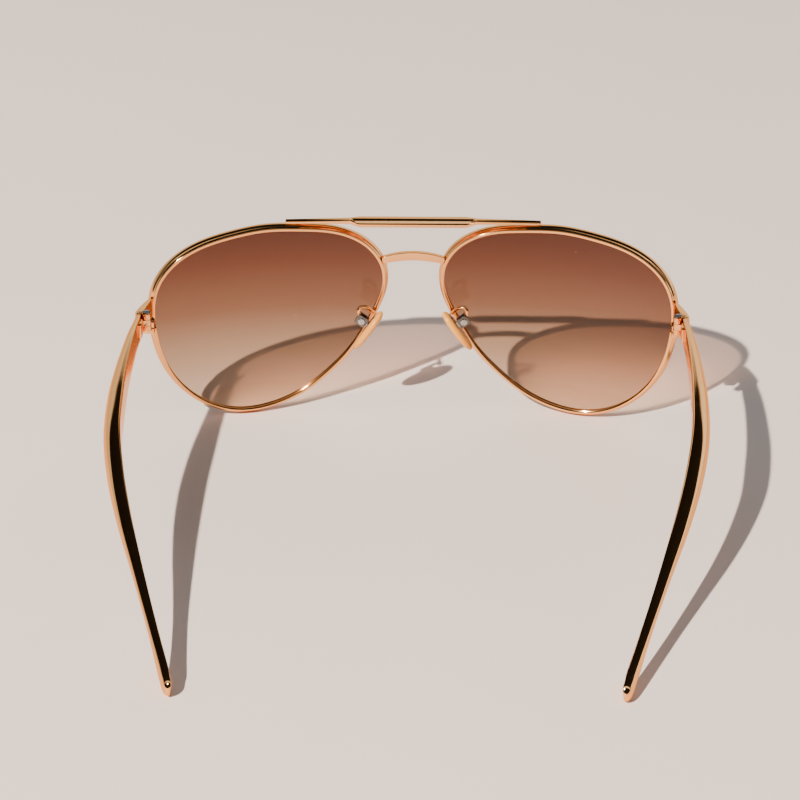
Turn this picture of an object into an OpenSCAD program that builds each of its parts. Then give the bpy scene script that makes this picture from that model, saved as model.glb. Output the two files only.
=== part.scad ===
// Aviator sunglasses, standing open on a table: the lower rims and the two
// temple tips rest on z = 0. The wearer looks along +Y, so +X is the right
// side. The left side is the right side mirrored.

/* [Lenses] */
// Width of a lens, across the box it fits in
lens_w = 60; // [50:1:68]
// Height of a lens, across the same box
lens_h = 49; // [42:1:56]
// Thickness of a lens
lens_t = 1.6; // [1.2:0.1:2]
// Radius of the lens's curve, at the middle of its thickness
lens_radius = 117; // [95:1:200]
// Gap between the two lenses at the nose
nose_gap = 16; // [14:0.5:22]
// How far each lens turns back around the face, in degrees
wrap = 10; // [5:0.5:12]
// How far the top of the front leans forward, in degrees
tilt = 5.5; // [0:0.5:9]

/* [Rims] */
// Width of the rim wire, seen from the front
rim_w = 1.4; // [1.2:0.1:2]
// Depth of the rim wire, from front to back
rim_d = 2.8; // [2.6:0.1:3.6]
// Depth of the groove that holds the lens
groove = 0.65; // [0.5:0.05:0.8]
// How far the lens edge reaches into the groove
lens_bite = 0.35; // [0.2:0.05:0.4]
// Width of the cut where the rim opens to take the lens
rim_cut = 0.3; // [0.2:0.05:0.5]

/* [Bridges] */
// Height of the arched bridge's strip
bridge_h = 2.2; // [1.4:0.1:3]
// Thickness of the arched bridge's strip, from front to back
bridge_t = 1.6; // [1:0.1:2.4]
// Height of the brow bar's middle
bar_h = 2.1; // [1.8:0.1:3]
// Depth of the brow bar's middle
bar_d = 2.8; // [2:0.1:3.6]
// Length of the brow bar's middle, between its two steps
bar_mid = 27.5; // [24:0.5:36]
// Length of the brow bar from tip to tip
bar_l = 66; // [60:1:74]

/* [Temples] */
// Length of a temple, straight back from its hinge to its tip
temple_l = 118; // [100:1:135]
// Thickness of the temple where it meets the endpiece
temple_t = 1.8; // [1.6:0.1:2.4]
// Height of the temple where it meets the endpiece
temple_h = 5.5; // [5.2:0.1:7]
// Height of the hinge above the middle of the lenses
hinge_up = 7.2; // [6.8:0.1:9]
// Height of the endpiece
endpiece_h = 5; // [5:0.1:6]

/* [Hinges] */
// Radius of a hinge knuckle
knuckle_r = 1.1; // [0.95:0.05:1.3]
// Radius of the hinge screw
hinge_screw_r = 0.6; // [0.5:0.05:0.7]
// Gap between the turning temple knuckle and its screw
hinge_fit = 0.04; // [0.02:0.01:0.08]
// Gap between neighbouring knuckles, and twice that at the butt joint
knuckle_gap = 0.06; // [0.04:0.01:0.1]

/* [Nose pads] */
// Length of a nose pad
pad_l = 13; // [11:0.5:15]
// Width of a nose pad
pad_w = 7.5; // [6:0.5:9]
// Thickness of a nose pad
pad_t = 2; // [1.8:0.1:2.6]
// How far the pads spread apart towards their lower ends, in degrees
pad_spread = 35; // [25:1:38]
// How far the pads open towards the face, in degrees
pad_splay = 8; // [0:1:15]
// Radius of the wire of a pad arm
arm_r = 0.55; // [0.45:0.05:0.65]
// Length and height of the box that holds a pad
pad_box = 2.6; // [2.4:0.1:3]
// Radius of the screw through a pad box
pad_screw_r = 0.45; // [0.4:0.05:0.5]
// Gap between the pad's tongue and its screw
pad_fit = 0.04; // [0.02:0.01:0.08]

/* [Hidden] */

gold = [0.86, 0.65, 0.47];
silver = [0.78, 0.78, 0.8];
amber = [0.93, 0.62, 0.3];
tint = [0.5, 0.31, 0.22, 0.8];

// ---- small vector tools ----
function unit(v) = v / norm(v);
function turn_z(p, a) = [p[0] * cos(a) - p[1] * sin(a), p[0] * sin(a) + p[1] * cos(a), p[2]];
function turn_x(p, a) = [p[0], p[1] * cos(a) - p[2] * sin(a), p[1] * sin(a) + p[2] * cos(a)];
function turn_y(p, a) = [p[0] * cos(a) + p[2] * sin(a), p[1], p[2] * cos(a) - p[0] * sin(a)];
function lowest(rings) = min([for (ring = rings) for (p = ring) p[2]]);

// A smooth curve through the points of a list, at t steps along it
function through(list, t) =
    let (
        last = len(list) - 1,
        i = max(0, min(floor(t), last - 1)),
        f = t - i,
        b = list[i],
        c = list[i + 1],
        a = i > 0 ? list[i - 1] : 2 * b - c,
        d = i < last - 1 ? list[i + 2] : 2 * c - b
    )
    b + f * (c - a) / 2 + f * f * (a - 2.5 * b + 2 * c - d / 2) + f * f * f * (1.5 * (b - c) + (d - a) / 2);

// A closed skin over a list of rings, each with the same number of points
module skin(rings) {
    n = len(rings[0]);
    m = len(rings);
    polyhedron(
        points = [for (ring = rings) for (p = ring) p],
        faces = concat(
            [[for (j = [0 : n - 1]) j]],
            [for (i = [0 : m - 2]) for (j = [0 : n - 1]) let (k = (j + 1) % n)
                each [
                    [i * n + j, (i + 1) * n + j, (i + 1) * n + k],
                    [i * n + j, (i + 1) * n + k, i * n + k]
                ]],
            [[for (j = [n - 1 : -1 : 0]) (m - 1) * n + j]]
        )
    );
}

// ---- the lens outline ----
// The lens's edge is a smooth closed curve. These are the reaches from the
// lens's middle that pull the curve out, at even steps of angle: from the
// temple side over the brow to the nose, and back along the cheek.
drawn_w = 60;
drawn_h = 49;
reaches = [
    29.5, 31.75, 28, 24.25, 24.25, 25.25, 31.75, 34,
    25.75, 23, 21.25, 22, 23.75, 26.75, 28.25, 29.25
];
reach_step = 360 / len(reaches);
function reach(a) =
    let (
        n = len(reaches),
        t = a / reach_step,
        i = floor(t),
        f = t - i,
        r = [for (k = [-1 : 2]) reaches[(i + k + 2 * n) % n]]
    )
    (r[0] * pow(1 - f, 3) + r[1] * (3 * pow(f, 3) - 6 * f * f + 4)
        + r[2] * (1 + 3 * f + 3 * f * f - 3 * pow(f, 3)) + r[3] * pow(f, 3)) / 6;
function outline(a) = reach(a) * [cos(a) * lens_w / drawn_w, sin(a) * lens_h / drawn_h];
function outline_normal(a) =
    let (d = unit(outline(a + 0.5) - outline(a - 0.5)))
    [d[1], -d[0]];

// ---- the lens's own frame: x to the temple, z up, its middle at the origin ----
function sag(p) = lens_radius - sqrt(lens_radius * lens_radius - p * p);
function lens_edge(a) = let (p = outline(a)) [p[0], -sag(p), p[1]];
function lens_facing(a) = unit(lens_edge(a) + [0, lens_radius, 0]);
// A point of the rim: w out across the lens's edge, d forward of its middle
function rim_point(a, w, d) =
    let (
        facing = lens_facing(a),
        along = unit(lens_edge(a + 0.5) - lens_edge(a - 0.5)),
        out = cross(facing, along)
    )
    lens_edge(a) + w * out + d * facing;

// ---- the front's frame: upright, the lenses' middles at z = 0 ----
lens_x = nose_gap / 2 + lens_w / 2 * cos(wrap) + sag([lens_w / 2, 0]) * sin(wrap);
function to_front(p) = turn_z(p, -wrap) + [lens_x, 0, 0];
module in_lens_frame() {
    translate([lens_x, 0, 0]) rotate([0, 0, -wrap]) children();
}

// ---- the rim's wire ----
// The wire's section, as [across, forward] from the lens's visible edge: a
// flat outer band in front, a lower lip behind, and the groove inside
lip = 0.35;
groove_half = lens_t / 2 + 0.05;
edge_break = 0.2;
rim_section = [
    [0, groove_half], [groove, groove_half], [groove, -groove_half], [0, -groove_half],
    [0, edge_break - rim_d / 2], [edge_break, -rim_d / 2],
    [rim_w - lip - edge_break, -rim_d / 2], [rim_w - lip, edge_break - rim_d / 2],
    [rim_w - lip, -rim_d / 5], [rim_w, -rim_d / 8],
    [rim_w, rim_d / 2 - edge_break], [rim_w - edge_break, rim_d / 2],
    [edge_break, rim_d / 2], [0, rim_d / 2 - edge_break]
];
rim_rings = 96;
lock_a = 2.2;
cut_a = rim_cut / lens_w * 360 / PI;
function rim_ring(a) = [for (s = rim_section) to_front(rim_point(a, s[0], s[1]))];
rim_shape = [for (i = [0 : rim_rings]) rim_ring(lock_a + cut_a / 2 + i / rim_rings * (360 - cut_a))];

// ---- the world frame ----
middle_z = -lowest([for (ring = rim_shape) [for (p = ring) turn_x(p, -tilt)]]);
rear_reach = 15.55;
middle_y = (temple_l + rear_reach) / 2;
function to_world(p) = turn_x(p, -tilt) + [0, middle_y, middle_z];
module in_front_frame() {
    translate([0, middle_y, middle_z]) rotate([-tilt, 0, 0]) children();
}

// ---- the hinge's place, from the edge of the lens at the hinge's height ----
hinge_a = 16;
lens_side = to_world(to_front(lens_edge(hinge_a)));
hinge_z = middle_z + hinge_up;
endpiece_out = 4;
endpiece_back = 10.3;
side_x = lens_side[0] + endpiece_out;
butt_y = lens_side[1] - endpiece_back;
inner_x = side_x - temple_t;
hinge_inset = 0.1;
hinge_x = inner_x - knuckle_r - hinge_inset;
butt_gap = 2 * knuckle_gap;

// ---- one side of the glasses ----
module side(s) {
    if (s > 0) {
        children();
    } else {
        mirror([1, 0, 0]) children();
    }
}

// The lens as a blank: grown by `grow` past its visible edge, `t` thick
module lens_blank(grow, t) {
    steps = 96;
    edge = [for (i = [0 : steps - 1]) let (a = i * 360 / steps) outline(a) + grow * outline_normal(a)];
    in_front_frame() in_lens_frame() intersection() {
        translate([0, 10, 0]) rotate([90, 0, 0]) linear_extrude(30) polygon(edge);
        translate([0, -lens_radius, 0]) difference() {
            sphere(r = lens_radius + t / 2, $fn = 120);
            sphere(r = lens_radius - t / 2, $fn = 120);
        }
    }
}
// Room that every brazed piece leaves for the lens in its groove
room_past = 0.02;
room_t = 0.3;
module lens_room() {
    lens_blank(groove + room_past, lens_t + room_t);
}

module lens() {
    color(tint) lens_blank(lens_bite, lens_t);
}

module rim() {
    color(gold) in_front_frame() skin(rim_shape);
}

// The endpiece: a gently bent strip from the rim's outer edge back to the
// butt joint, thinner where it meets the rim
module endpiece() {
    bend_r = 40;
    bend_from = 28;
    bend_to = 12;
    steps = 8;
    middle = [side_x - bend_r * cos(bend_to), butt_y - bend_r * sin(bend_to)];
    outer = [
        for (i = [0 : steps]) let (a = bend_from + (bend_to - bend_from) * i / steps)
            middle + bend_r * [cos(a), sin(a)]
    ];
    inner = [[inner_x, butt_y], [lens_side[0] + 0.3, lens_side[1] - 1.2]];
    color(gold) difference() {
        translate([0, 0, hinge_z - endpiece_h / 2])
            linear_extrude(endpiece_h) polygon(concat(outer, inner));
        lens_room();
    }
}

// ---- the rim lock: two blocks that a screw pulls together to close the rim ----
lock_h = 1.45;
lock_w = 2.7;
lock_d = 3.8;
lock_in = 0.3;
lock_behind = 0.4;
lock_screw_r = 0.5;
lock_screw_fit = 0.02;
lock_head_r = 0.85;
lock_head_h = 0.42;
lock_edge = to_front(lens_edge(lock_a));
lock_screw_at = lock_edge + [0.65, -3.1, 0];
module rim_lock(up, bore) {
    low = up ? rim_cut / 2 : -rim_cut / 2 - lock_h;
    color(gold) difference() {
        in_front_frame() difference() {
            translate(lock_edge + [-lock_in, -lock_behind - lock_d, low]) cube([lock_w, lock_d, lock_h]);
            translate(lock_screw_at + [0, 0, low - 1]) cylinder(r = bore, h = lock_h + 2, $fn = 32);
        }
        lens_room();
    }
}
module rim_lock_upper() {
    rim_lock(true, lock_screw_r + lock_screw_fit);
}
module rim_lock_lower() {
    rim_lock(false, lock_screw_r);
}
slot_w = 0.24;
module screw_slot(head_r, depth) {
    translate([-head_r - 1, -slot_w / 2, -depth]) cube([2 * head_r + 2, slot_w, depth + 1]);
}
module rim_screw() {
    top = rim_cut / 2 + lock_h;
    color(silver) in_front_frame() translate(lock_screw_at) difference() {
        union() {
            translate([0, 0, -top]) cylinder(r = lock_screw_r, h = 2 * top, $fn = 32);
            translate([0, 0, top]) cylinder(r = lock_head_r, h = lock_head_h, $fn = 48);
        }
        translate([0, 0, top + lock_head_h]) screw_slot(lock_head_r, 0.35);
    }
}

// ---- the temple's hinge: two knuckles on the front, one on the temple ----
knuckle_h = 1.6;
leaf_t = 0.5;
leaf_bury = 0.15;
leaf_clear = 0.25;
leaf_from = knuckle_r + knuckle_gap;
leaf_joined = 0.1;
hinge_half = knuckle_h * 1.5 + knuckle_gap;
hinge_head_h = 0.45;
module knuckle(low, bore, dir) {
    difference() {
        union() {
            translate([hinge_x, butt_y, low]) cylinder(r = knuckle_r, h = knuckle_h, $fn = 48);
            translate([hinge_x, butt_y + (dir > 0 ? leaf_clear : -leaf_from), low])
                cube([inner_x + leaf_bury - hinge_x, leaf_from - leaf_clear, knuckle_h]);
        }
        translate([hinge_x, butt_y, low - 1]) cylinder(r = bore, h = knuckle_h + 2, $fn = 32);
    }
}
module front_hinge() {
    leaf_l = 2.3;
    color(gold) union() {
        for (low = [-hinge_half, hinge_half - knuckle_h]) {
            knuckle(hinge_z + low, hinge_screw_r, 1);
        }
        translate([inner_x - leaf_t, butt_y + leaf_from - leaf_joined, hinge_z - hinge_half])
            cube([leaf_t + leaf_bury, leaf_l, 2 * hinge_half]);
    }
}
module temple_hinge() {
    leaf_l = 4.6;
    leaf_h = 3.6;
    color(gold) union() {
        knuckle(hinge_z - knuckle_h / 2, hinge_screw_r + hinge_fit, -1);
        translate([inner_x - leaf_t, butt_y - leaf_from - leaf_l, hinge_z - leaf_h / 2])
            cube([leaf_t + 2 * leaf_bury, leaf_l + leaf_joined, leaf_h]);
    }
}
module hinge_screw() {
    head_r = 0.9 * knuckle_r;
    color(silver) translate([hinge_x, butt_y, hinge_z]) difference() {
        union() {
            translate([0, 0, -hinge_half]) cylinder(r = hinge_screw_r, h = 2 * hinge_half, $fn = 32);
            translate([0, 0, hinge_half]) cylinder(r = head_r, h = hinge_head_h, $fn = 48);
        }
        translate([0, 0, hinge_half + hinge_head_h]) screw_slot(head_r, 0.25);
    }
}

// ---- the temple ----
// Its centre line from the butt joint: [back, out, down, thickness, height].
// It bows out, turns in behind the ear and drops to its tip.
drawn_l = 117;
drawn_drop = 30;
drawn_t = 1.8;
drawn_h0 = 5.5;
temple_line = [
    [0, 0, 0, 1.8, 5.5], [3.2, 0.15, 0, 2.1, 5.6], [11, 0.8, 0.3, 2.7, 6], [24, 1.4, 1.6, 3.5, 6.6],
    [35.5, 1.4, 3.1, 4.2, 7.1], [49, 0.6, 5.4, 4.3, 7.3], [62, -1.7, 8.9, 4, 6.7],
    [74, -4.9, 12.8, 3.4, 5.4], [85.5, -8.7, 17.1, 2.7, 4], [95.5, -12.1, 21, 2.3, 3.2],
    [104.5, -15.1, 24.6, 2.2, 3.6], [111.5, -17.4, 27.6, 2.3, 4.6], [drawn_l, -19.2, drawn_drop, 2.3, 5]
];
temple_out = side_x - temple_t / 2;
tip_z = 2.3;
temple_drop = hinge_z - tip_z;
function temple_at(t) =
    let (q = through(temple_line, t))
    [
        temple_out + q[1],
        butt_y - butt_gap - q[0] * temple_l / drawn_l,
        hinge_z - q[2] * temple_drop / drawn_drop
    ];
// The section: domed outside, flat inside, with its corners eased
dome_step = 22.5;
function temple_section(t, h) = concat(
    [for (a = [90 : -dome_step : -90]) [0.75 * t * cos(a) - t / 4, h / 2 * sin(a)]],
    [[-0.42 * t, -0.48 * h], [-t / 2, -0.44 * h], [-t / 2, 0.44 * h], [-0.42 * t, 0.48 * h]]
);
function temple_ring(t, size, start) =
    let (
        q = through(temple_line, t),
        at = temple_at(t),
        along = start ? [0, -1, 0] : unit(temple_at(t + 0.05) - temple_at(t - 0.05)),
        out = unit(cross([0, 0, 1], -along)) * -1,
        up = cross(along, -out),
        thick = q[3] * temple_t / drawn_t * size,
        high = q[4] * temple_h / drawn_h0 * size
    )
    [for (s = temple_section(thick, high)) at + s[0] * out + s[1] * up];
temple_last = len(temple_line) - 1;
temple_steps = 5;
tip_round = 0.35;
temple_body = [
    for (i = [0 : temple_last * temple_steps - 2])
        temple_ring(i / temple_steps, 1, i == 0)
];
temple_tip = [
    for (a = [0 : 22.5 : 78])
        temple_ring(temple_last - tip_round + tip_round * sin(a), cos(a), false)
];
temple_loose = concat(temple_body, temple_tip);
// The drop is trued so that the lowest point of the tip rests on z = 0
temple_lift = -lowest(temple_loose);
temple_shape = [
    for (ring = temple_loose) [
        for (p = ring) p + [0, 0, temple_lift * (butt_y - p[1]) / temple_l]
    ]
];
module temple() {
    color(gold) skin(temple_shape);
}

// ---- the nose pads: each pad's frame has z up along it and x towards its lens ----
pad_back = 7.6;
pad_low = 0.5;
pad_side = 3.6;
pad_at = [nose_gap / 2 + pad_side, middle_y - pad_back, middle_z - pad_low];
box_x = pad_t / 2 + 1.9;
box_z = 1.4;
box_t = 0.6;
tongue_t = 0.8;
tongue_gap = 0.05;
box_w = tongue_t + 2 * tongue_gap + 2 * box_t;
box_mouth = 0.5;
box_room = 1.05;
box_back = 0.45;
eye_r = 0.85;
module in_pad_frame() {
    translate(pad_at) rotate([0, -pad_spread, 0]) rotate([0, 0, pad_splay]) children();
}
function pad_to_world(p) = pad_at + turn_y(turn_z(p, pad_splay), -pad_spread);

// Where the insert's plate is let into the pad
plate_l = 6.4;
plate_w = 2.8;
plate_t = 0.6;
plate_from = [pad_t / 2 - plate_t, -plate_w / 2, box_z - plate_l / 2];

// The pad: an oval cushion with eased edges
pad_layers = [[-1, 0.72], [-0.75, 0.88], [-0.35, 0.98], [0, 1], [0.35, 0.98], [0.75, 0.88], [1, 0.72]];
pad_sides = 32;
module pad() {
    color(amber) in_pad_frame() difference() {
        skin([for (q = pad_layers) [
            for (i = [0 : pad_sides - 1]) let (a = i * 360 / pad_sides)
                [q[0] * pad_t / 2, q[1] * pad_w / 2 * cos(a), q[1] * pad_l / 2 * sin(a)]
        ]]);
        translate(plate_from) cube([plate_t + 1, plate_w, plate_l]);
    }
}
// The metal insert: a plate let into the pad, with a tongue for the screw
module pad_insert() {
    color(silver) in_pad_frame() difference() {
        union() {
            translate(plate_from) cube([plate_t, plate_w, plate_l]);
            translate([pad_t / 2 - plate_t / 2, -tongue_t / 2, box_z - eye_r])
                cube([box_x - pad_t / 2 + plate_t / 2, tongue_t, 2 * eye_r]);
            translate([box_x, tongue_t / 2, box_z]) rotate([90, 0, 0])
                cylinder(r = eye_r, h = tongue_t, $fn = 40);
        }
        translate([box_x, 5, box_z]) rotate([90, 0, 0])
            cylinder(r = pad_screw_r + pad_fit, h = 10, $fn = 32);
    }
}
// The box: a clevis that the tongue sits in, open towards the pad
module pad_box_piece() {
    from_x = pad_t / 2 + box_mouth;
    deep = box_x + box_room - from_x;
    color(silver) in_pad_frame() difference() {
        translate([from_x, -box_w / 2, box_z - pad_box / 2]) cube([deep + box_back, box_w, pad_box]);
        translate([from_x - 1, -tongue_t / 2 - tongue_gap, box_z - pad_box])
            cube([deep + 1, tongue_t + 2 * tongue_gap, 2 * pad_box]);
        translate([box_x, 5, box_z]) rotate([90, 0, 0]) cylinder(r = pad_screw_r, h = 10, $fn = 32);
    }
}
module pad_screw() {
    head_r = 0.85;
    head_h = 0.35;
    color(silver) in_pad_frame() translate([box_x, 0, box_z]) rotate([90, 0, 0]) difference() {
        union() {
            translate([0, 0, -box_w / 2]) cylinder(r = pad_screw_r, h = box_w, $fn = 32);
            translate([0, 0, box_w / 2]) cylinder(r = head_r, h = head_h, $fn = 48);
        }
        translate([0, 0, box_w / 2 + head_h]) rotate([0, 0, 35]) screw_slot(head_r, 0.2);
    }
}
// The arm: a wire that loops back and over from the rim into the box's back
arm_a = 176;
arm_sides = 10;
arm_bury = 0.25;
arm_from = to_world(to_front(rim_point(arm_a, arm_r, arm_bury - rim_d / 2)));
arm_to = pad_to_world([box_x + box_room + box_back / 2, 0, box_z + pad_box / 4]);
arm_line = [
    arm_from, arm_from + [0, -1.8, 0.2], arm_from + [0.1, -3.8, 0.8], arm_from + [0.7, -5.6, 2.1],
    arm_to + [-2, 0.9, 1.8], arm_to + [-0.5, 0.4, 2.15], arm_to + [0.2, 0.1, 1.35], arm_to
];
arm_steps = 5;
function arm_ring(t) =
    let (
        at = through(arm_line, t),
        along = unit(through(arm_line, t + 0.02) - through(arm_line, t - 0.02)),
        across = unit(cross([1, 0, 0], along)),
        over = cross(along, across)
    )
    [for (a = [0 : 360 / arm_sides : 359]) at + arm_r * (cos(a) * across + sin(a) * over)];
module pad_arm() {
    last = (len(arm_line) - 1) * arm_steps;
    color(gold) skin([for (i = [0 : last]) arm_ring(i / arm_steps)]);
}

// ---- the two bridges, in the front's frame ----
bridge_z = 16.6 * lens_h / drawn_h;
bridge_half = nose_gap / 2 + 0.2;
bridge_fore = 0.35;
module bridge() {
    over_r = 24;
    under_r = 30;
    over = bridge_z + bridge_h / 2;
    under = bridge_z - bridge_h / 2;
    color(gold) difference() {
        in_front_frame() translate([0, bridge_fore + bridge_t / 2, 0]) rotate([90, 0, 0]) intersection() {
            difference() {
                translate([0, over - over_r, 0]) cylinder(r = over_r, h = bridge_t, $fn = 180);
                translate([0, under - under_r, -1]) cylinder(r = under_r, h = bridge_t + 2, $fn = 240);
            }
            translate([-bridge_half, over - over_r, -1]) cube([2 * bridge_half, 2 * over_r, bridge_t + 2]);
        }
        for (s = [-1, 1]) {
            side(s) lens_room();
        }
    }
}
// The brow bar: deep in the middle, then a step at each end of it, then a
// flat tab that runs out over the top of the rim
bar_top = lens_h / 2 + rim_w + 1.3;
bar_front = 0.8;
tab_h = 0.9;
tip_h = 1.35;
tip_drop = 0.3;
step_l = 2.7;
module brow_bar() {
    half = bar_l / 2;
    mid = bar_mid / 2;
    low = bar_top - bar_h;
    function both(right) = concat(right, [for (i = [len(right) - 1 : -1 : 0]) [-right[i][0], right[i][1]]]);
    face = both([
        [mid, low], [mid + step_l, bar_top - tab_h],
        [half - 5, bar_top - tip_drop - tab_h + 0.3], [half, bar_top - tip_drop - tip_h],
        [half, bar_top - tip_drop], [mid + step_l, bar_top]
    ]);
    plan = both([
        [mid, bar_front - bar_d], [mid + step_l, bar_front - bar_d + 0.4], [half, bar_front - bar_d + 0.3],
        [half, bar_front - 1.6], [mid + step_l, bar_front - 1], [mid, bar_front]
    ]);
    cut = both([[mid - 0.4, low], [mid + step_l - 0.4, bar_top + 0.1]]);
    slope_l = bar_d * 0.42;
    slope_h = bar_h * 0.58;
    slope = [[-0.5, 0.1], [slope_l, 0.1], [slope_l, 0], [0, -slope_h], [-0.5, -slope_h]];
    color(gold) difference() {
        in_front_frame() difference() {
            intersection() {
                translate([0, 10, 0]) rotate([90, 0, 0]) linear_extrude(20) polygon(face);
                translate([0, 0, low - 1]) linear_extrude(bar_h + 2) polygon(plan);
            }
            intersection() {
                translate([-half, bar_front - bar_d, bar_top]) rotate([90, 0, 90])
                    linear_extrude(bar_l) polygon(slope);
                translate([0, 10, 0]) rotate([90, 0, 0]) linear_extrude(20) polygon(cut);
            }
        }
        for (s = [-1, 1]) {
            side(s) lens_room();
        }
    }
}

side(-1) lens();  // left_lens
side(-1) rim();  // left_rim
side(-1) endpiece();  // left_endpiece
side(-1) rim_lock_upper();  // left_rim_lock_upper
side(-1) rim_lock_lower();  // left_rim_lock_lower
side(-1) rim_screw();  // left_rim_screw
side(-1) front_hinge();  // left_front_hinge
side(-1) hinge_screw();  // left_hinge_screw
side(-1) temple();  // left_temple
side(-1) temple_hinge();  // left_temple_hinge
side(-1) pad_arm();  // left_pad_arm
side(-1) pad_box_piece();  // left_pad_box
side(-1) pad_insert();  // left_pad_insert
side(-1) pad();  // left_pad
side(-1) pad_screw();  // left_pad_screw
side(1) lens();  // right_lens
side(1) rim();  // right_rim
side(1) endpiece();  // right_endpiece
side(1) rim_lock_upper();  // right_rim_lock_upper
side(1) rim_lock_lower();  // right_rim_lock_lower
side(1) rim_screw();  // right_rim_screw
side(1) front_hinge();  // right_front_hinge
side(1) hinge_screw();  // right_hinge_screw
side(1) temple();  // right_temple
side(1) temple_hinge();  // right_temple_hinge
side(1) pad_arm();  // right_pad_arm
side(1) pad_box_piece();  // right_pad_box
side(1) pad_insert();  // right_pad_insert
side(1) pad();  // right_pad
side(1) pad_screw();  // right_pad_screw
bridge();
brow_bar();
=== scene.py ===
from math import atan2, cos, hypot, pi, radians, sin, sqrt

import bpy
from mathutils import Matrix, Vector


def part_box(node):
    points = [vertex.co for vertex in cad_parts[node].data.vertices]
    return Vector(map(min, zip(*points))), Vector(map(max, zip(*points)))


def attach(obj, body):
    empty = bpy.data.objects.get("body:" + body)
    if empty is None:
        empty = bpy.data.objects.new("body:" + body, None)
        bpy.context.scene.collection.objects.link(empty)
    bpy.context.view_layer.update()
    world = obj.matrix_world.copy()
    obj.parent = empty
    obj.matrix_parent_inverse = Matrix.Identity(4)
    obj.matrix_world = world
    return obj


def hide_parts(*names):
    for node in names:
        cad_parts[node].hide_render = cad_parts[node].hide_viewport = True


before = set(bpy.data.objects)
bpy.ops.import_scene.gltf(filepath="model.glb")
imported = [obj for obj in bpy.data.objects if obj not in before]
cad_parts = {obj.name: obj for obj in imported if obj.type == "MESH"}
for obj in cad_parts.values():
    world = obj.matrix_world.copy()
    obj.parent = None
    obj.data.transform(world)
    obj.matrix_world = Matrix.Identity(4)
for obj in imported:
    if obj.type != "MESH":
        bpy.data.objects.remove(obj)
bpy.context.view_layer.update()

MM = 0.001
weld_gap = 1e-6

# ---- Camera ----
# A long lens, above and behind the wearer's side, looking down on the open
# temples with the front of the glasses beyond them.
camera_yaw = radians(2.2)
camera_pitch = radians(29.04)
camera_roll = radians(-0.58)
camera_focal = 115.2
camera_place = (0.0192, -0.5313, 0.3329)
ahead = Vector((
    -sin(camera_yaw) * cos(camera_pitch),
    cos(camera_yaw) * cos(camera_pitch),
    -sin(camera_pitch),
))
level = Vector((cos(camera_yaw), sin(camera_yaw), 0))
over = level.cross(ahead)
rightward = cos(camera_roll) * level + sin(camera_roll) * over
upward = cos(camera_roll) * over - sin(camera_roll) * level
camera_data = bpy.data.cameras.new("camera")
camera_data.lens = camera_focal
camera = bpy.data.objects.new("camera", camera_data)
bpy.context.scene.collection.objects.link(camera)
camera.rotation_euler = Matrix((rightward, upward, -ahead)).transposed().to_euler()
camera.location = camera_place
bpy.context.scene.camera = camera


# ---- Floor ----
# A pale, faintly warm matt sheet that the glasses stand on, with a slow cloud
# in its colour. It is wide enough to run past the edges of the camera's view.
class Wire:
    """A value or colour on its way from one node of a finish to another."""

    def __init__(self, finish, socket):
        self.finish = finish
        self.socket = socket

    def maths(self, operation, first, second):
        return self.finish.add("Math", {0: first, 1: second}, operation=operation)

    def __add__(self, other):
        return self.maths("ADD", self, other)

    def __mul__(self, other):
        return self.maths("MULTIPLY", self, other)

    def __truediv__(self, other):
        return self.maths("DIVIDE", self, other)

    def __gt__(self, other):
        return self.maths("GREATER_THAN", self, other)

    def __lt__(self, other):
        return self.maths("LESS_THAN", self, other)

    __radd__ = __add__
    __rmul__ = __mul__


def set_stops(ramp, stops):
    """Sets a colour ramp's stops, the first two of which it already has."""
    for number, (place, colour) in enumerate(stops):
        stop = ramp.elements[number] if number < 2 else ramp.elements.new(place)
        stop.position = place
        stop.color = (*colour, 1)


class Finish:
    """A material while it is being made."""

    def __init__(self, name):
        self.material = bpy.data.materials.new(name)
        self.material.use_nodes = True
        self.tree = self.material.node_tree
        self.shader = self.tree.nodes["Principled BSDF"]

    def feed(self, socket, value):
        if isinstance(value, Wire):
            self.tree.links.new(value.socket, socket)
        elif socket.type == "RGBA" and len(value) == 3:
            socket.default_value = (*value, 1)
        else:
            socket.default_value = value

    def add(self, kind, inputs=(), output=0, stops=(), **settings):
        node = self.tree.nodes.new("ShaderNode" + kind)
        for name, value in settings.items():
            setattr(node, name, value)
        if stops:
            set_stops(node.color_ramp, stops)
        for key, value in dict(inputs).items():
            self.feed(node.inputs[key], value)
        return Wire(self, node.outputs[output])

    def surface(self, **values):
        for name, value in values.items():
            self.feed(self.shader.inputs[name.replace("_", " ")], value)

    def place(self):
        """Object coordinates, in metres."""
        return self.add("TexCoord", output="Object")

    def noise(self, where, scale, detail):
        return self.add("TexNoise", {"Vector": where, "Scale": scale, "Detail": detail})


class ColourMix:
    """Names the sockets of a colour Mix node, which keeps a set of each type."""

    factor, first, second, result = 0, 6, 7, 2


def colour_blend(finish, factor, first, second):
    return finish.add(
        "Mix",
        {ColourMix.factor: factor, ColourMix.first: first, ColourMix.second: second},
        output=ColourMix.result,
        data_type="RGBA",
    )


floor_size = 12
floor_shade = (0.76, 0.615, 0.53)
floor_pale = (0.80, 0.655, 0.57)
floor_finish = Finish("pale_sheet")
floor_cloud = floor_finish.noise(floor_finish.place(), 9, 5)
floor_finish.surface(
    Base_Color=colour_blend(floor_finish, floor_cloud, floor_shade, floor_pale),
    Roughness=0.55,
)
bpy.ops.object.select_all(action="DESELECT")
bpy.ops.mesh.primitive_plane_add(size=floor_size)
floor = bpy.context.object
floor.name = "floor"
floor.data.materials.append(floor_finish.material)

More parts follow.
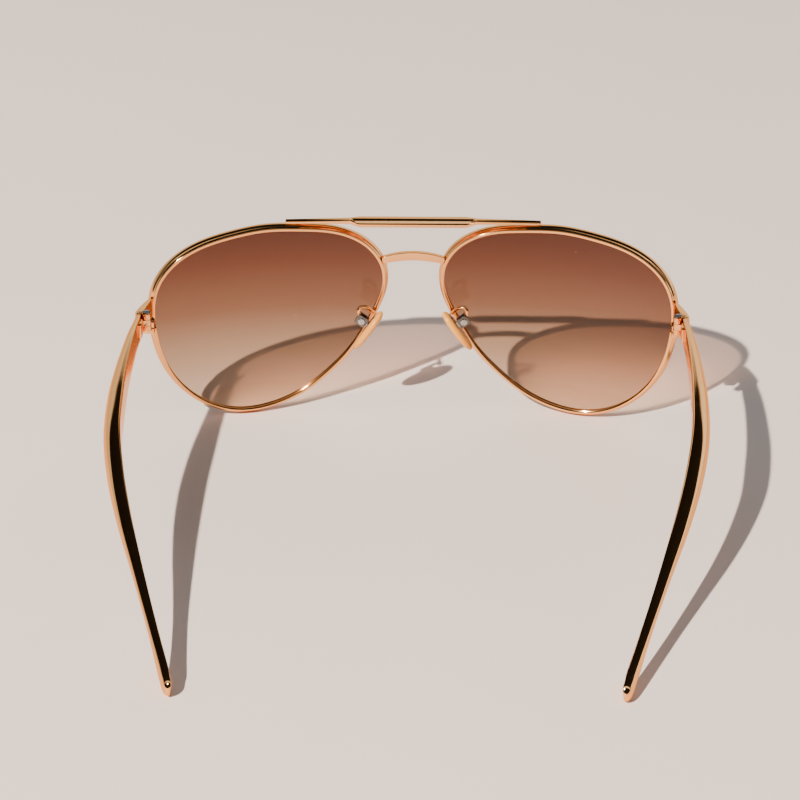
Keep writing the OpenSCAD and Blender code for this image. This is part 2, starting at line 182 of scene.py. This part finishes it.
# ---- Studio light ----
# A small key high behind the wearer's left shoulder, and a dark room with a
# wide window low ahead and a narrow strip just past overhead. Polished metal
# mirrors them as bright faces with black bands between.
key_from = Vector((-24, -35, 41.5)).normalized()
key_distance = 2.6
key_size = 0.055
key_energy = 196
key_tint = (1, 0.95, 0.89)
key_data = bpy.data.lights.new("key", "AREA")
key_data.shape = "DISK"
key_data.size = key_size
key_data.energy = key_energy
key_data.color = key_tint
key = bpy.data.objects.new("key", key_data)
key.location = key_from * key_distance
key.rotation_euler = key_from.to_track_quat("Z", "Y").to_euler()
bpy.context.scene.collection.objects.link(key)

world = bpy.data.worlds.new("studio")
bpy.context.scene.world = world
world.use_nodes = True
sky = world.node_tree
sky_place = sky.nodes.new("ShaderNodeTexCoord")
sky_split = sky.nodes.new("ShaderNodeSeparateXYZ")
sky_arc = sky.nodes.new("ShaderNodeMath")
sky_arc.operation = "ARCTAN2"
sky_turn = sky.nodes.new("ShaderNodeMath")
sky_turn.operation = "DIVIDE"
sky_turn.inputs[1].default_value = pi
sky_ramp = sky.nodes.new("ShaderNodeValToRGB")
sky.links.new(sky_place.outputs["Generated"], sky_split.inputs[0])
sky.links.new(sky_split.outputs["Z"], sky_arc.inputs[0])
sky.links.new(sky_split.outputs["Y"], sky_arc.inputs[1])
sky.links.new(sky_arc.outputs[0], sky_turn.inputs[0])
sky.links.new(sky_turn.outputs[0], sky_ramp.inputs[0])
sky.links.new(sky_ramp.outputs[0], sky.nodes["Background"].inputs["Color"])
sky_dark = 0.015
sky_bands = (
    (0.0, 1.35), (0.20, 1.3), (0.24, sky_dark), (0.55, sky_dark),
    (0.565, 1.4), (0.622, 1.4), (0.637, sky_dark), (1.0, sky_dark),
)
sky_tint = (0.90, 0.97, 1.03)
set_stops(
    sky_ramp.color_ramp,
    [(place, [part * grey for part in sky_tint]) for place, grey in sky_bands],
)
sky_gain_across = 0.35
sky_gain = 1.0
sky_side = sky.nodes.new("ShaderNodeMath")
sky_side.operation = "MULTIPLY_ADD"
sky_side.inputs[1].default_value = sky_gain_across
sky_side.inputs[2].default_value = sky_gain
sky.links.new(sky_split.outputs["X"], sky_side.inputs[0])
sky.links.new(sky_side.outputs[0], sky.nodes["Background"].inputs["Strength"])

# ---- Lenses ----
# Two moulded shells with a brown tint that fades towards the cheek, polished
# on both faces. Each is sprung into the groove of its rim.
front_tilt = radians(5.5)
lens_wrap = radians(10)
lens_curve = 117 * MM
lens_thickness = 1.6 * MM
front_middle = Vector((0, 66.775, 26.0227)) * MM
lens_middle_x = 38.2235 * MM
front_place = Matrix.Translation(front_middle) @ Matrix.Rotation(-front_tilt, 4, "X")
lens_place = (
    front_place
    @ Matrix.Translation((lens_middle_x, 0, 0))
    @ Matrix.Rotation(-lens_wrap, 4, "Z")
)
sides = {"left": Matrix.Scale(-1, 4, (1, 0, 0)), "right": Matrix.Identity(4)}

tint_height = 52 * MM
tint_stops = (
    (0.05, (0.67, 0.52, 0.41)),
    (0.30, (0.46, 0.315, 0.21)),
    (0.55, (0.265, 0.128, 0.076)),
    (0.80, (0.165, 0.060, 0.034)),
    (1.0, (0.098, 0.032, 0.018)),
)
tint_shadow = (0.57, 0.50, 0.45)
speck_colour = (0.85, 0.72, 0.62)
speck_size = 0.045
speck_skip = 0.88
specks_per_metre = 260

lens_finish = Finish("brown_gradient_lens")
lens_where = lens_finish.place()
lens_up = lens_finish.add("SeparateXYZ", {0: lens_where}, output="Z")
lens_colour = lens_finish.add("ValToRGB", {0: lens_up / tint_height}, stops=tint_stops)
lens_specks = lens_finish.tree.nodes.new("ShaderNodeTexVoronoi")
lens_specks.inputs["Scale"].default_value = specks_per_metre
lens_finish.feed(lens_specks.inputs["Vector"], lens_where)
speck_near = Wire(lens_finish, lens_specks.outputs["Distance"]) < speck_size
speck_draw = Wire(lens_finish, lens_specks.outputs["Color"])
speck_pick = lens_finish.add("SeparateColor", {0: speck_draw}) > speck_skip
lens_finish.surface(
    Base_Color=colour_blend(lens_finish, speck_near * speck_pick, lens_colour, speck_colour),
    Roughness=0.015,
    Transmission_Weight=1.0,
    IOR=1.24,
)

# Light on its way from the key passes through a plain tint, so that the
# shadow of a lens is a pale one.
lamp_gate = lens_finish.add("LightPath", output="Is Shadow Ray")
lens_glass = Wire(lens_finish, lens_finish.shader.outputs[0])
lens_clear = lens_finish.add("BsdfTransparent", {"Color": tint_shadow})
lens_mix = lens_finish.add("MixShader", {0: lamp_gate, 1: lens_glass, 2: lens_clear})
lens_output = lens_finish.tree.nodes["Material Output"]
lens_finish.tree.links.new(lens_mix.socket, lens_output.inputs["Surface"])


full_turn = 2 * pi
match_digits = 6


def lens_outline(node, place):
    """The radius of a CAD lens's edge by angle, in its own frame.

    The edge is where a front and a back corner share one place in the outline.
    """
    back = place.inverted()
    depths = {}
    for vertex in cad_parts[node].data.vertices:
        x, y, z = (round(part, match_digits) for part in back @ vertex.co)
        depths.setdefault((x, z), set()).add(y)
    edge = sorted(
        (atan2(z, x) % full_turn, hypot(x, z)) for (x, z), ys in depths.items() if len(ys) > 1
    )
    last_angle, last_radius = edge[-1]
    first_angle, first_radius = edge[0]
    before = (last_angle - full_turn, last_radius)
    after = (first_angle + full_turn, first_radius)
    return [before, *edge, after]


def radius_at(outline, angle):
    """The edge's radius at an angle, between the corners on either side."""
    for (a, r), (b, s) in zip(outline, outline[1:]):
        if a <= angle < b:
            return r + (s - r) * (angle - a) / (b - a)


def turn_side(piece, side):
    """Puts a right-hand piece on its side, and keeps its faces outwards."""
    piece.data.transform(sides[side])
    if side == "left":
        piece.data.flip_normals()


# A flat sheet is rolled into each lens: its width goes round the middle, and
# its depth goes from the middle out to the edge.
lens_spokes = 192
lens_rings = 14
half_sheet = 0.5
lens_shaded_fold = radians(40)
outline = lens_outline("right_lens", lens_place)
for side in sides:
    bpy.ops.object.select_all(action="DESELECT")
    bpy.ops.mesh.primitive_grid_add(x_subdivisions=lens_spokes, y_subdivisions=lens_rings, size=1)
    lens = bpy.context.object
    lens.name = side + "_lens_shell"
    for vertex in lens.data.vertices:
        angle = (vertex.co.x + half_sheet) * full_turn
        reach = (vertex.co.y + half_sheet) * radius_at(outline, angle % full_turn)
        sag = lens_curve - sqrt(lens_curve**2 - reach**2)
        vertex.co = (reach * cos(angle), -sag, reach * sin(angle))
    bpy.ops.object.mode_set(mode="EDIT")
    bpy.ops.mesh.select_all(action="SELECT")
    bpy.ops.mesh.remove_doubles(threshold=weld_gap)
    bpy.ops.mesh.normals_make_consistent(inside=False)
    bpy.ops.object.mode_set(mode="OBJECT")
    wall = lens.modifiers.new("wall", "SOLIDIFY")
    wall.thickness = lens_thickness
    wall.offset = 0
    bpy.ops.object.modifier_apply(modifier="wall")
    lens.data.transform(lens_place)
    turn_side(lens, side)
    bpy.ops.object.shade_smooth_by_angle(angle=lens_shaded_fold)
    lens.data.materials.append(lens_finish.material)
    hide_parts(side + "_lens")
    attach(lens, "front")

# ---- Rims ----
# Drawn wire with a groove inside and a flat band outside, bent round each
# lens, plated rose gold and polished.
gold_light = (0.96, 0.475, 0.185)
gold_deep = (0.92, 0.43, 0.155)
gold_glance = (0.92, 0.62, 0.38)
gold_finish = Finish("rose_gold_plate")
gold_place = gold_finish.place()
gold_cloud = gold_finish.noise(gold_place, 60, 3)
gold_smear = gold_finish.noise(gold_place, 420, 4)
gold_ripple = gold_finish.noise(gold_place, 900, 2)
gold_finish.surface(
    Base_Color=colour_blend(gold_finish, gold_cloud, gold_light, gold_deep),
    Metallic=1.0,
    Roughness=0.05 + 0.07 * gold_smear,
    Specular_Tint=gold_glance,
    Normal=gold_finish.add("Bump", {"Height": gold_ripple, "Strength": 0.12, "Distance": 0.04 * MM}),
)


def cad_copy(node, name):
    """A loose copy of a CAD node's mesh, with its faces joined up again."""
    piece = bpy.data.objects.new(name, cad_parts[node].data.copy())
    bpy.context.scene.collection.objects.link(piece)
    bpy.ops.object.select_all(action="DESELECT")
    piece.select_set(True)
    bpy.context.view_layer.objects.active = piece
    if piece.data.has_custom_normals:
        bpy.ops.mesh.customdata_custom_splitnormals_clear()
    bpy.ops.object.mode_set(mode="EDIT")
    bpy.ops.mesh.select_all(action="SELECT")
    bpy.ops.mesh.remove_doubles(threshold=weld_gap)
    bpy.ops.object.mode_set(mode="OBJECT")
    return piece


def finish_piece(piece, node, body, material):
    """Gives a copy its finish, and puts it in its CAD node's place."""
    piece.data.materials.clear()
    piece.data.materials.append(material)
    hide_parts(node)
    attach(piece, body)


cage_fold = radians(60)
tip_clear = 3 * MM


def swell(piece, tip, rounds=3):
    """Pushes a cage out until its rounded surface passes through its corners.

    The corners behind the place called tip stay where they are.
    """
    corners = [vertex.co.copy() for vertex in piece.data.vertices]
    for _ in range(rounds):
        bpy.context.view_layer.update()
        rounded = piece.evaluated_get(bpy.context.evaluated_depsgraph_get()).data
        gaps = [
            corner - rounded.vertices[i].co if corner.y > tip else Vector()
            for i, corner in enumerate(corners)
        ]
        for vertex, gap in zip(piece.data.vertices, gaps):
            vertex.co += gap
        piece.data.update()


def flowing(node, body, material, levels=2, full=False):
    """A swept piece: its strips made quads again, then rounded along its run."""
    piece = cad_copy(node, node + "_drawn")
    bpy.ops.object.mode_set(mode="EDIT")
    bpy.ops.mesh.select_all(action="SELECT")
    bpy.ops.mesh.tris_convert_to_quads(face_threshold=cage_fold, shape_threshold=cage_fold)
    bpy.ops.object.mode_set(mode="OBJECT")
    smooth = piece.modifiers.new("smooth", "SUBSURF")
    smooth.levels = smooth.render_levels = levels
    if full:
        swell(piece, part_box(node)[0][1] + tip_clear)
    bpy.ops.object.modifier_apply(modifier="smooth")
    bpy.ops.object.shade_smooth()
    finish_piece(piece, node, body, material)


for side in sides:
    flowing(side + "_rim", "front", gold_finish.material)


# ---- Endpieces ----
# A flat strip brazed to each rim's outer edge, bent back to the butt joint
# with the temple, its edges eased and polished with the rim.
flat_fold = radians(1)
sharp_fold = radians(35)
shaded_fold = radians(34)


def eased(node, body, material, ease, segments=3, filed=None):
    """A machined piece: flats made whole, then every sharp edge broken."""
    piece = cad_copy(node, node + "_eased")
    if filed:
        filed(piece)
    bpy.ops.object.mode_set(mode="EDIT")
    bpy.ops.mesh.select_all(action="SELECT")
    bpy.ops.mesh.dissolve_limited(angle_limit=flat_fold)
    bpy.ops.object.mode_set(mode="OBJECT")
    edge = piece.modifiers.new("edge", "BEVEL")
    edge.width = ease * MM
    edge.segments = segments
    edge.limit_method = "ANGLE"
    edge.angle_limit = sharp_fold
    edge.use_clamp_overlap = True
    bpy.ops.object.modifier_apply(modifier="edge")
    bpy.ops.object.shade_smooth_by_angle(angle=shaded_fold)
    finish_piece(piece, node, body, material)


for side in sides:
    eased(side + "_endpiece", "front", gold_finish.material, ease=0.3, segments=4)

# ---- Rim locks ----
# Two small blocks on each rim, one either side of the cut, and the slotted
# dark screw that draws them together on the lens.
nickel_light = (0.17, 0.155, 0.14)
nickel_deep = (0.11, 0.10, 0.09)
nickel_finish = Finish("dark_nickel")
nickel_cloud = nickel_finish.noise(nickel_finish.place(), 800, 3)
nickel_finish.surface(
    Base_Color=colour_blend(nickel_finish, nickel_cloud, nickel_light, nickel_deep),
    Metallic=1.0,
    Roughness=0.10 + 0.14 * nickel_cloud,
)
for side in sides:
    eased(side + "_rim_lock_upper", "front", gold_finish.material, ease=0.15)
    eased(side + "_rim_lock_lower", "front", gold_finish.material, ease=0.15)
    eased(side + "_rim_screw", "front", nickel_finish.material, ease=0.06, segments=2)

# ---- Temple hinges ----
# Three knuckles on a dark screw: two on a leaf inside the endpiece, one on a
# leaf inside the temple.
for side in sides:
    eased(side + "_front_hinge", "front", gold_finish.material, ease=0.08, segments=2)
    eased(
        side + "_temple_hinge", side + "_temple", gold_finish.material,
        ease=0.08, segments=2,
    )
    eased(side + "_hinge_screw", "front", nickel_finish.material, ease=0.06, segments=2)

# ---- Temples ----
# One forged strip a side, domed outside and flat inside, thinned behind the
# ear and spread to a rounded paddle at its tip.
for side in sides:
    flowing(side + "_temple", side + "_temple", gold_finish.material, full=True)

# ---- Pad arms ----
# A drawn wire brazed behind each rim, looped back and over into its pad box,
# so that it can be bent to fit the wearer's nose.
for side in sides:
    flowing(side + "_pad_arm", "front", gold_finish.material)

# ---- Pad boxes ----
# A dark clevis on the end of each arm, with a bright slotted screw across it
# that carries the tongue of the pad's metal insert.
steel_light = (0.52, 0.50, 0.47)
steel_deep = (0.40, 0.38, 0.355)
steel_finish = Finish("bright_steel")
steel_cloud = steel_finish.noise(steel_finish.place(), 700, 3)
steel_finish.surface(
    Base_Color=colour_blend(steel_finish, steel_cloud, steel_light, steel_deep),
    Metallic=1.0,
    Roughness=0.12 + 0.12 * steel_cloud,
)
for side in sides:
    eased(side + "_pad_box", "front", nickel_finish.material, ease=0.15)
    eased(side + "_pad_screw", "front", steel_finish.material, ease=0.06, segments=2)
    eased(
        side + "_pad_insert", side + "_pad", steel_finish.material,
        ease=0.08, segments=2,
    )

# ---- Nose pads ----
# Two soft ovals of clear amber silicone, moulded round their metal inserts.
# They let a little light in, and have a faint skin of gloss.
amber_light = (1.0, 0.44, 0.07)
amber_deep = (0.95, 0.35, 0.04)
amber_finish = Finish("clear_amber_silicone")
amber_cloud = amber_finish.noise(amber_finish.place(), 300, 3)
amber_finish.surface(
    Base_Color=colour_blend(amber_finish, amber_cloud, amber_light, amber_deep),
    Roughness=0.12 + 0.1 * amber_cloud,
    Transmission_Weight=0.25,
    IOR=1.42,
    Coat_Weight=0.15,
    Coat_Roughness=0.08,
)
for side in sides:
    flowing(side + "_pad", side + "_pad", amber_finish.material, levels=1)

# ---- Bridge ----
# An arched strip brazed between the rims, the lower of the two cross pieces,
# with its edges well rounded.
eased("bridge", "front", gold_finish.material, ease=0.5, segments=5)

# ---- Brow bar ----
# A deep straight bar with a sloped back, stepped down at each end to a thin
# tab that is brazed along the top of the rim.
tab_start = 16 * MM
tab_foot = 26 * MM
tab_behind = -1.2 * MM
tab_slope = 0.45 * MM


def slope_tabs(piece):
    """Lowers the back edge of each tab's top face."""
    back = front_place.inverted()
    for vertex in piece.data.vertices:
        place = back @ vertex.co
        if abs(place.x) > tab_start and place.z > tab_foot and place.y < tab_behind:
            place.z -= tab_slope
            vertex.co = front_place @ place


eased("brow_bar", "front", gold_finish.material, ease=0.13, filed=slope_tabs)
